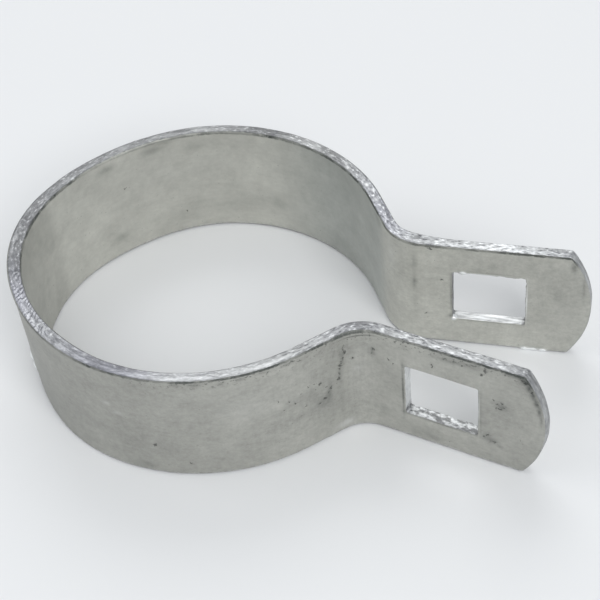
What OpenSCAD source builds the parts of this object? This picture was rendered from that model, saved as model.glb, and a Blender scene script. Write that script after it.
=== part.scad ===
// Brace band: one strip of galvanised steel, formed round a fence post.
// Two ears stand off the post side by side, each with a punched slot for the bolt
// that draws the band tight and holds a rail end between the ears.
// The post's axis is Z, with the origin at half the strip's width. The ears point along +X.

/* [Post] */
// Outside diameter of the post that the band wraps
post_d = 60.3; // [48:0.1:90]

/* [Strip] */
// Width of the strip, measured along the post
strip_w = 22.2; // [18:0.1:30]
// Thickness of the strip with its zinc coat
strip_t = 2.1; // [1.4:0.1:3.2]
// Radius along the strip's long edges
edge_r = 0.3; // [0.1:0.05:0.6]

/* [Neck] */
// Angle from the middle line at which the strip leaves the post
neck_angle = 38; // [32:1:46]
// Straight run between the post and the outward bend
neck_run = 7.3; // [3:0.1:10]
// Inside radius of the outward bend
bend_r = 6.1; // [3:0.1:9]

/* [Ears] */
// Lean of the ear on the +Y side away from the middle line, in degrees
lean_left = 8.4; // [0:0.1:12]
// Lean of the ear on the -Y side away from the middle line, in degrees
lean_right = 6.5; // [0:0.1:12]
// Length of an ear from its bend to its tip
ear_l = 28.4; // [25:0.1:40]
// Radius of the curve that an ear's end is sheared to
end_r = 19; // [16:0.5:40]

/* [Bolt slots] */
// Distance from the bend to the slot
slot_inset = 4.8; // [3:0.1:7]
// Length of a slot, along the ear
slot_l = 12.5; // [8:0.1:14]
// Height of a slot, across the ear
slot_h = 10.8; // [8:0.1:12]
// Radius in the slot's corners
slot_r = 0.4; // [0.3:0.1:3]

/* [Hidden] */
$fn = 96;
// How far a cutter runs past what it cuts
past = 1;
// How far a curved run is drawn past the plane that squares it off, in degrees
overrun = 4;
// How many times smaller the runs are while they are joined
join_scale = 100;
// Radius of the strip's middle line round the post, and round the outward bend
wrap_r = (post_d + strip_t) / 2;
turn_r = bend_r + strip_t / 2;

// A rectangle about the origin with round corners
module rounded_rect(size, r) {
    square([size.x, size.y - 2 * r], center = true);
    square([size.x - 2 * r, size.y], center = true);
    for (sx = [-1, 1], sy = [-1, 1])
        translate([sx * (size.x / 2 - r), sy * (size.y / 2 - r)])
            circle(r);
}

// The strip's cross-section: thickness along X, width along Y
module strip_section() {
    rounded_rect([strip_t, strip_w], edge_r);
}

// The strip carried along X from the origin
module straight_run(length) {
    rotate([90, 0, 90])
        linear_extrude(length)
            strip_section();
}

// The strip carried round Z from the X axis, at radius r on its middle line
module curved_run(r, sweep) {
    rotate_extrude(angle = sweep)
        translate([r, 0])
            strip_section();
}

// A block on one side of the plane X = 0, thick and wide enough to square off the strip
module trim_block(direction) {
    translate([direction * strip_w / 2, 0, 0])
        cube([strip_w, 2 * strip_t, strip_w + 2 * past], center = true);
}

// Frames along the strip. In each, the strip's middle line passes the origin, heading along X.
module where_wrap_ends() {
    rotate(neck_angle)
        translate([wrap_r, 0, 0])
            rotate(-90)
                children();
}

module where_neck_ends() {
    where_wrap_ends()
        translate([neck_run, 0, 0])
            children();
}

module where_ear_starts(lean) {
    where_neck_ends()
        translate([0, turn_r, 0])
            rotate(bend_sweep(lean))
                translate([0, -turn_r, 0])
                    children();
}

// The neck heads neck_angle short of square to the middle line, and the bend turns it out to the lean
function bend_sweep(lean) = 90 - neck_angle + lean;

// The round part on the post, drawn on past its second end and squared off there
module wrap() {
    difference() {
        rotate(neck_angle)
            curved_run(wrap_r, 360 - 2 * neck_angle + overrun);
        mirror([0, 1, 0])
            where_wrap_ends()
                trim_block(1);
    }
}

// The outward bend, drawn back from the ear past the neck and squared off there
module outward_bend(lean) {
    difference() {
        where_ear_starts(lean)
            translate([0, turn_r, 0])
                rotate(-90)
                    curved_run(turn_r, -bend_sweep(lean) - overrun);
        where_neck_ends()
            trim_block(-1);
    }
}

// An ear's waste, flat: X runs along the ear from its bend, Y across it
module ear_waste() {
    // What is sheared off round the end
    difference() {
        translate([ear_l - end_r, -strip_w / 2 - past])
            square([end_r + past, strip_w + 2 * past]);
        translate([ear_l - end_r, 0])
            circle(end_r);
    }
    // The punched slot
    translate([slot_inset + slot_l / 2, 0])
        rounded_rect([slot_l, slot_h], slot_r);
}

// A flat ear with its end sheared round and its slot punched
module ear() {
    difference() {
        straight_run(ear_l);
        rotate([90, 0, 0])
            linear_extrude(strip_t + 2 * past, center = true)
                ear_waste();
    }
}

// Joins runs that meet end to end, at a scale so small that rounding leaves no gap between them
module joined() {
    scale(join_scale)
        for (i = [0 : $children - 1])
            scale(1 / join_scale)
                children(i);
}

// One side of the band past the post
module side(lean) {
    joined() {
        where_wrap_ends()
            straight_run(neck_run);
        outward_bend(lean);
        where_ear_starts(lean)
            ear();
    }
}

module band() {
    color("darkgray")
        joined() {
            wrap();
            side(lean_left);
            mirror([0, 1, 0])
                side(lean_right);
        }
}

band();
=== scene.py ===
"""Looks of the brace band: one galvanised strip, punched, sheared and formed round a post.

The strip is first laid out flat as a grid of points, with its slots and its sheared ends. Zinc
relief is pressed into that flat strip, and the strip is then carried along its formed middle line.
Flat places are in millimetres: how far along the strip from the middle of the wrap (plus towards
the ear at +Y), how far across it (plus is up), and how far through it (plus is the outer face).
"""

from __future__ import annotations

import itertools
import logging
from dataclasses import dataclass, field
from enum import Enum
from typing import Sequence

import bpy
import numpy as np
from mathutils import Matrix


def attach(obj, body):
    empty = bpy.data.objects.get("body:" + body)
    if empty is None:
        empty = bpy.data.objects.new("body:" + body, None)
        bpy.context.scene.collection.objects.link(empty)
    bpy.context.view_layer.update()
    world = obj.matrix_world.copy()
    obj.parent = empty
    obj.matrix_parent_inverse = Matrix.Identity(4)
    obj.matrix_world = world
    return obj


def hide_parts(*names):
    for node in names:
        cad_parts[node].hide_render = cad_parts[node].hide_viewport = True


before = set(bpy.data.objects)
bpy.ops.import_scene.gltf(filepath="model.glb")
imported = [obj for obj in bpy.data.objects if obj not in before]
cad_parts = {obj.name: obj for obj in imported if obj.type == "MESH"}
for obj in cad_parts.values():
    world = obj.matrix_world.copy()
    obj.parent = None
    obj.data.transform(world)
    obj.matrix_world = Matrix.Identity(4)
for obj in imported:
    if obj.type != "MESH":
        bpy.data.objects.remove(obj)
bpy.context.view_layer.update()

MM = 0.001

# How far across the flat strip its long edges are taken to begin, in millimetres.
EDGE_FROM = 10.9

# Multipliers that scatter a lattice point's three numbers and its seed, the shifts and multipliers
# that stir them, and the bits that are kept on the way and at the end.
SCATTER = (73856093, 19349663, 83492791, 40503)
STIRS = ((13, 1274126177), (15, 668265263))
KEPT_BITS = 0x7FFFFFFF
END_BITS = 0xFFFF

Colour = tuple[float, float, float, float]
Stops = tuple[tuple[float, float], ...]
Pits = tuple[tuple[float, float, float], ...]

log = logging.getLogger("brace_band")


def graded(count: int, crowding: float) -> np.ndarray:
    """Places from 0 to 1 that lie closer together near both ends.

    An even step x becomes x - crowding * sin(2 pi x) / (2 pi), so that the step at the ends is
    (1 - crowding) times the even one.

    Args:
        count: How many steps to make.
        crowding: 0 for even steps, towards 1 for steps that vanish at the ends.

    Returns:
        count + 1 places in rising order.
    """
    even = np.linspace(0.0, 1.0, count + 1)
    return even - crowding * np.sin(2 * np.pi * even) / (2 * np.pi)


def lattice_noise(places: np.ndarray, cells: Sequence[float], seed: int) -> np.ndarray:
    """Soft noise from -1 to 1: random numbers on a box lattice, blended along 3t^2 - 2t^3.

    A lattice point's number comes from its three whole numbers and the seed, each times its own
    multiplier, put together bit by bit and stirred.

    Args:
        places: N x 3 places.
        cells: Size of a lattice box along each axis, in the same unit.
        seed: Which noise to make.

    Returns:
        N values.
    """
    scaled = places / np.asarray(cells, float)
    base = np.floor(scaled).astype(np.int64)
    t = scaled - base
    t = t * t * (3 - 2 * t)
    total = np.zeros(len(places))
    for corner in itertools.product((0, 1), repeat=3):
        node = base + np.array(corner)
        mixed = np.bitwise_xor.reduce(node * np.array(SCATTER[:3]), axis=1) ^ seed * SCATTER[3]
        for shift, factor in STIRS:
            mixed = (mixed ^ (mixed >> shift)) * factor & KEPT_BITS
        weight = np.prod(np.where(corner, t, 1 - t), axis=1)
        total += weight * ((mixed >> 7 & END_BITS) / (END_BITS / 2) - 1)
    return total


def add_object(name: str, data: bpy.types.ID) -> bpy.types.Object:
    """Makes an object of some data and puts it into the scene, at the origin.

    Args:
        name: Its name.
        data: Its mesh, lamp or lens.

    Returns:
        The object.
    """
    made = bpy.data.objects.new(name, data)
    bpy.context.scene.collection.objects.link(made)
    return made


def standing(axes: Sequence[np.ndarray], place: Sequence[float]) -> Matrix:
    """The matrix of an object that stands at a place: its columns are the axes and the place.

    Args:
        axes: The object's three axes, as unit vectors.
        place: Where it stands.

    Returns:
        The matrix.
    """
    turned = np.eye(4)
    turned[:3] = np.stack([*axes, place], axis=-1)
    return Matrix(turned.tolist())


@dataclass(frozen=True)
class ArcPath:
    """A flat path of straight and round runs laid end to end.

    Attributes:
        start: Where the path begins.
        heading: Direction in which it begins, in radians.
        runs: Length and turn of each run; a straight run turns by 0.
    """

    start: tuple[float, float]
    heading: float
    runs: tuple[tuple[float, float], ...]

    @property
    def length(self) -> float:
        """Length of all the runs together."""
        return sum(length for length, _ in self.runs)

    def at(self, distance: np.ndarray) -> tuple[np.ndarray, np.ndarray]:
        """Places and headings on the path.

        Each run adds the integral of (cos, sin) of its heading over the part of it that lies
        before the distance, in closed form.

        Args:
            distance: Distances along the path.

        Returns:
            N x 2 places, and N headings in radians.
        """
        x = np.full(distance.shape, self.start[0])
        y = np.full(distance.shape, self.start[1])
        turned = np.full(distance.shape, self.heading)
        begun, heading = 0.0, self.heading
        for length, turn in self.runs:
            part = np.clip(distance - begun, 0.0, length)
            if turn:
                radius = length / turn
                x += radius * (np.sin(heading + part / radius) - np.sin(heading))
                y -= radius * (np.cos(heading + part / radius) - np.cos(heading))
                turned += part / radius
            else:
                x += part * np.cos(heading)
                y += part * np.sin(heading)
            begun += length
            heading += turn
        return np.stack([x, y], axis=-1), turned


class Side(Enum):
    """The two halves of the band, by the way that their ear lies from the middle line."""

    LEFT = 1
    RIGHT = -1


@dataclass(frozen=True)
class FormedLine:
    """The strip's middle line as the band is formed, seen along the post.

    Attributes:
        wrap_r: Radius round the post.
        neck_angle: Angle from the middle line at which the strip leaves the post, in degrees.
        neck_run: Straight run between the post and the outward bend.
        turn_r: Radius of the outward bend.
        lean: Outward lean of each ear, in degrees.
        ear_l: Length of an ear.
    """

    wrap_r: float = 31.2
    neck_angle: float = 38.0
    neck_run: float = 7.3
    turn_r: float = 7.15
    lean: tuple[float, float] = (8.4, 6.5)
    ear_l: float = 28.4

    def half(self, side: Side) -> ArcPath:
        """The half that runs from the middle of the wrap to one ear's tip.

        The wrap turns in by half its sweep, the neck is straight, the bend turns back out by
        90 degrees less the neck's angle and plus the lean, and the ear is straight.

        Args:
            side: Which half, drawn as if it were the left one.

        Returns:
            The path.
        """
        sweep = np.pi - np.radians(self.neck_angle)
        back = np.radians(90.0 - self.neck_angle + self.lean_of(side))
        runs = (
            (self.wrap_r * sweep, -sweep),
            (self.neck_run, 0.0),
            (self.turn_r * back, back),
            (self.ear_l, 0.0),
        )
        return ArcPath((-self.wrap_r, 0.0), np.pi / 2, runs)

    def lean_of(self, side: Side) -> float:
        """Lean of one side's ear, in degrees."""
        return self.lean[0] if side is Side.LEFT else self.lean[1]

    def ear_starts(self, side: Side) -> float:
        """Distance along the strip at which one side's ear begins."""
        return self.half(side).length - self.ear_l

    def carry(self, flat: np.ndarray) -> np.ndarray:
        """Carries flat places onto the formed band.

        A place goes to the path's point at its distance along, plus its depth times the path's
        outward normal, plus its height across the strip along Z. The right half is mirrored.

        Args:
            flat: N x 3 places along, across and through the flat strip.

        Returns:
            N x 3 places in the object's frame, in the same unit.
        """
        along, across, through = flat.T
        formed = np.zeros_like(flat)
        for side in Side:
            on_side = along * side.value >= 0 if side is Side.LEFT else along < 0
            point, heading = self.half(side).at(np.abs(along[on_side]))
            out = np.stack([-np.sin(heading), np.cos(heading)], axis=-1)
            place = point + out * through[on_side, None]
            formed[on_side, 0] = place[:, 0]
            formed[on_side, 1] = place[:, 1] * side.value
        formed[:, 2] = across
        return formed


@dataclass
class Patch:
    """A grid of flat places that is one part of the strip's skin.

    Attributes:
        places: Rows x columns x 3 flat places.
        cut: Rows x columns, 0 on the rolled faces and 1 on sheared and punched walls.
        slot: Rows x columns, 1 on a slot's walls.
        closed: Whether the last column joins the first.
        flipped: Whether the faces are wound the other way.
    """

    places: np.ndarray
    cut: np.ndarray
    slot: np.ndarray
    closed: bool = False
    flipped: bool = False

    def mirrored(self) -> Patch:
        """The same patch on the other side of the strip's middle."""
        places = self.places * np.array([-1.0, 1.0, 1.0])
        return Patch(places, self.cut, self.slot, self.closed, not self.flipped)

    def quads(self, first: int) -> np.ndarray:
        """Corner numbers of the patch's faces.

        Args:
            first: Number of the patch's first point.

        Returns:
            M x 4 numbers.
        """
        rows, columns = self.places.shape[:2]
        number = first + np.arange(rows * columns).reshape(rows, columns)
        if self.closed:
            number = np.concatenate([number, number[:, :1]], axis=1)
        corners = [number[:-1, :-1], number[1:, :-1], number[1:, 1:], number[:-1, 1:]]
        faces = np.stack(corners, axis=-1).reshape(-1, 4)
        return faces[:, ::-1] if self.flipped else faces


@dataclass(frozen=True)
class FlatStrip:
    """The punched and sheared strip before it is formed, as patches that meet point to point.

    Attributes:
        width: Width of the strip.
        thickness: Thickness with its zinc.
        edge_r: Radius along the long edges and round the ends.
        ear_l: Length of an ear.
        end_r: Radius that an ear's end is sheared to.
        corner_r: Radius at the two corners of a sheared end.
        slot_inset: Distance from the bend to the slot.
        slot_l: Length of a slot along the strip.
        slot_h: Height of a slot across the strip.
        slot_r: Radius in a slot's corners.
        rolled_r: Radius of a slot's rim on the side that the punch entered.
        burr_r: Radius of a slot's rim on the side that the punch left.
        lead: Length of ear that belongs to the plain strip's patch.
        columns: Steps across a face.
        lengthwise: Steps along an ear's long side.
        outward: Steps from a slot's rim out to the ear's border.
        station_gap: Distance between the plain strip's stations.
        crowding: How much closer the steps lie near the ends of a side.
        outward_crowding: How much closer they lie at the slot's rim and at the border.
        turn_points: Points on the rounding of an edge.
        edge_steps: Steps through the strip on a long edge or a sheared end.
        slot_steps: Steps through the strip on a slot's wall.
    """

    width: float = 22.2
    thickness: float = 2.1
    edge_r: float = 0.3
    ear_l: float = 28.4
    end_r: float = 19.0
    corner_r: float = 0.7
    slot_inset: float = 4.8
    slot_l: float = 12.5
    slot_h: float = 10.8
    slot_r: float = 0.36
    rolled_r: float = 0.3
    burr_r: float = 0.14
    lead: float = 1.0
    columns: int = 40
    lengthwise: int = 60
    outward: int = 24
    station_gap: float = 0.38
    crowding: float = 0.6
    outward_crowding: float = 0.75
    turn_points: int = 5
    edge_steps: int = 8
    slot_steps: int = 9

    def wall_rows(self, top_r: float, bottom_r: float, flat_steps: int) -> tuple[np.ndarray, ...]:
        """The profile of a wall through the strip, from the outer face to the inner one.

        A quarter circle leads off the outer face, a straight line goes through the strip, and a
        quarter circle leads onto the inner face.

        Args:
            top_r: Radius at the outer face.
            bottom_r: Radius at the inner face.
            flat_steps: Steps on the straight part.

        Returns:
            How far each row lies back from the wall, its depth through the strip, and its cut
            value, which rises from 0 on the faces to 1 on the wall.
        """
        half = self.thickness / 2
        turn = np.linspace(0.0, np.pi / 2, self.turn_points)
        back = [top_r * (1 - np.sin(turn)), bottom_r * (1 - np.cos(turn))]
        depth = [half - top_r * (1 - np.cos(turn)), -half + bottom_r * (1 - np.sin(turn))]
        level = np.linspace(half - top_r, -half + bottom_r, flat_steps + 1)[1:-1]
        back.insert(1, np.zeros_like(level))
        depth.insert(1, level)
        rise = np.linspace(0.0, 1.0, self.turn_points)
        cut = np.concatenate([rise, np.ones_like(level), rise[::-1]])
        return np.concatenate(back), np.concatenate(depth), cut

    @staticmethod
    def wall(
        line: np.ndarray, into_metal: np.ndarray, rows: tuple[np.ndarray, ...]
    ) -> tuple[np.ndarray, np.ndarray]:
        """A wall through the strip along a line: each row is the line moved back into the metal.

        Args:
            line: N x 2 places of the wall.
            into_metal: N x 2 unit vectors square to it.
            rows: The rows that wall_rows gives.

        Returns:
            Rows x N x 3 places, and rows x N cut values.
        """
        back, depth, cut = rows
        flat = line[None] + into_metal[None] * back[:, None, None]
        places = np.concatenate([flat, np.repeat(depth[:, None, None], len(line), axis=1)], axis=-1)
        return places, np.repeat(cut[:, None], len(line), axis=1)

    def plain_run(self, line: FormedLine) -> Patch:
        """The strip between the two ears: its rounded section carried along it.

        Args:
            line: The formed line, for the places where the ears begin.

        Returns:
            The patch, one row for each station along the strip.
        """
        half_w, half_t = self.width / 2, self.thickness / 2
        across = (half_w - self.edge_r) * (2 * graded(self.columns, self.crowding) - 1)
        back, depth, cut = self.wall_rows(self.edge_r, self.edge_r, self.edge_steps)
        # A wall's rows without the two that the faces have: from the outer face inwards, and back.
        inwards, outwards = slice(1, -1), slice(-2, 0, -1)
        none = np.zeros_like(across)
        upper, lower = half_w - back[inwards], back[outwards] - half_w
        section_v = np.concatenate([across, upper, across[::-1], lower])
        section_n = np.concatenate([none + half_t, depth[inwards], none - half_t, depth[outwards]])
        section_cut = np.concatenate([none, cut[inwards], none, cut[outwards]])
        low = -line.ear_starts(Side.RIGHT) - self.lead
        high = line.ear_starts(Side.LEFT) + self.lead
        stations = np.linspace(low, high, int((high - low) / self.station_gap))
        parts = np.broadcast_arrays(stations[:, None], section_v[None], section_n[None])
        places = np.stack(parts, axis=-1)
        cuts = np.repeat(section_cut[None], len(stations), axis=0)
        return Patch(places, cuts, np.zeros_like(cuts), closed=True)

    def outline(self) -> tuple[ArcPath, float]:
        """An ear's free edge, from the plain strip round the sheared end and back.

        The end is an arc about a point on the ear's middle line. Each corner is an arc that
        touches both the long edge and the end, so its centre lies corner_r in from both.

        Returns:
            The path in ear places, and the distance along it to the middle of its first corner.
        """
        half_w = self.width / 2
        centre = self.ear_l - self.end_r
        reach = np.sqrt((self.end_r - self.corner_r) ** 2 - (half_w - self.corner_r) ** 2)
        swing = float(np.arctan2(half_w - self.corner_r, reach))
        turn = np.pi / 2 - swing
        straight = centre + reach - self.lead
        runs = (
            (straight, 0.0),
            (self.corner_r * turn, turn),
            (self.end_r * 2 * swing, 2 * swing),
            (self.corner_r * turn, turn),
            (straight, 0.0),
        )
        return ArcPath((self.lead, -half_w), 0.0, runs), straight + self.corner_r * turn / 2

    def slot_loop(self) -> ArcPath:
        """A slot's wall line, from the middle of its first corner all the way round.

        It is a rectangle of four straight runs and four quarter circles, the first of which is
        split in two halves.

        Returns:
            The path in ear places.
        """
        r = self.slot_r
        diagonal = r * (1 - np.sqrt(0.5))
        start = (self.slot_inset + diagonal, diagonal - self.slot_h / 2)
        along = (self.slot_l - 2 * r, 0.0)
        across = (self.slot_h - 2 * r, 0.0)
        corner = (r * np.pi / 2, np.pi / 2)
        half = (r * np.pi / 4, np.pi / 4)
        runs = (half, along, corner, across, corner, along, corner, across, half)
        return ArcPath(start, -np.pi / 4, runs)

    def ear(self) -> list[Patch]:
        """An ear round its slot, in ear places, as patches that share their border points.

        Lines run out from the slot's rim to the ear's border, corner to corner. A face is the
        blend (1 - w) * rim + w * border, with w crowded at both ends.

        Returns:
            The two faces, the slot's wall and the free edge's wall.
        """
        border, to_corner = self.outline()
        loop = self.slot_loop()
        long_way = graded(self.lengthwise, self.crowding)
        short_way = graded(self.columns, self.crowding)
        stops = [0.0, to_corner, border.length - to_corner, border.length]
        free = [
            stops[0] + (stops[1] - stops[0]) * long_way[:-1],
            stops[1] + (stops[2] - stops[1]) * short_way[:-1],
            stops[2] + (stops[3] - stops[2]) * long_way,
        ]
        edge, edge_heading = border.at(np.concatenate(free))
        edge_in = np.stack([-np.sin(edge_heading), np.cos(edge_heading)], axis=-1)
        half_w = self.width / 2 - self.edge_r
        joint_v = half_w * (1 - 2 * short_way[1:-1])
        joint = np.stack([np.full_like(joint_v, self.lead), joint_v], axis=-1)
        rim_border = np.concatenate([edge + edge_in * self.edge_r, joint])

        long_side = self.slot_l - 2 * self.slot_r + self.slot_r * np.pi / 2
        short_side = self.slot_h - 2 * self.slot_r + self.slot_r * np.pi / 2
        ways = [
            long_side * long_way[:-1],
            long_side + short_side * short_way[:-1],
            long_side + short_side + long_side * long_way[:-1],
            2 * long_side + short_side + short_side * short_way[:-1],
        ]
        rim, wall_heading = loop.at(np.concatenate(ways))
        into_metal = np.stack([np.sin(wall_heading), -np.cos(wall_heading)], axis=-1)

        half_t = self.thickness / 2
        w = graded(self.outward, self.outward_crowding)[:, None, None]
        patches = []
        for depth, rim_r in ((half_t, self.rolled_r), (-half_t, self.burr_r)):
            flat = (1 - w) * (rim + into_metal * rim_r) + w * rim_border
            none = np.zeros(flat.shape[:2])
            places = np.concatenate([flat, np.full(flat.shape[:2] + (1,), depth)], axis=-1)
            patches.append(Patch(places, none, none, closed=True, flipped=depth < 0))

        rows = self.wall_rows(self.rolled_r, self.burr_r, self.slot_steps)
        places, cuts = self.wall(rim, into_metal, rows)
        patches.append(Patch(places, cuts, (cuts > 0).astype(float), closed=True, flipped=True))

        rows = self.wall_rows(self.edge_r, self.edge_r, self.edge_steps)
        places, cuts = self.wall(edge, edge_in, rows)
        patches.append(Patch(places, cuts, np.zeros_like(cuts)))
        return patches

    def patches(self, line: FormedLine) -> list[Patch]:
        """All the strip's patches in strip places.

        Args:
            line: The formed line, for the places where the ears begin.

        Returns:
            The plain run and both ears.
        """
        found = [self.plain_run(line)]
        for side in Side:
            for patch in self.ear():
                patch.places[..., 0] += line.ear_starts(side)
                found.append(patch if side is Side.LEFT else patch.mirrored())
        return found


class Skin(Enum):
    """The parts of the strip's skin that marks lie on."""

    OUTER = "outer face"
    INNER = "inner face"
    EDGE = "long edges"

    def covers(self, flat: np.ndarray) -> np.ndarray:
        """Which flat places are on this part of the skin, as an array of truth values."""
        if self is Skin.EDGE:
            return np.abs(flat[:, 1]) > EDGE_FROM
        return flat[:, 2] > 0 if self is Skin.OUTER else flat[:, 2] < 0


@dataclass(frozen=True)
class SmudgeAndPaintedLight:
    """A soft grey mark on the strip: some are smudges, others painted shade and painted highlights.

    Attributes:
        along: Place along the strip.
        across: Place across it, or through it for a smudge on a long edge.
        length: Half its length along the strip.
        height: Half its height across the strip, or through it.
        depth: How dark it is, from 0 to 1, or how much lighter if it is below 0.
        skin: The part of the skin that it is on.
    """

    along: float
    across: float
    length: float
    height: float
    depth: float
    skin: Skin

    def soil(self, flat: np.ndarray) -> np.ndarray:
        """Its darkness: depth * exp(-d^2), with d the distance from its middle in half sizes.

        Args:
            flat: N x 3 flat places.

        Returns:
            N values, 0 off its part of the skin.
        """
        beside = flat[:, 2] if self.skin is Skin.EDGE else flat[:, 1]
        distance = ((flat[:, 0] - self.along) / self.length) ** 2
        distance += ((beside - self.across) / self.height) ** 2
        return self.depth * np.exp(-distance) * self.skin.covers(flat)
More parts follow.
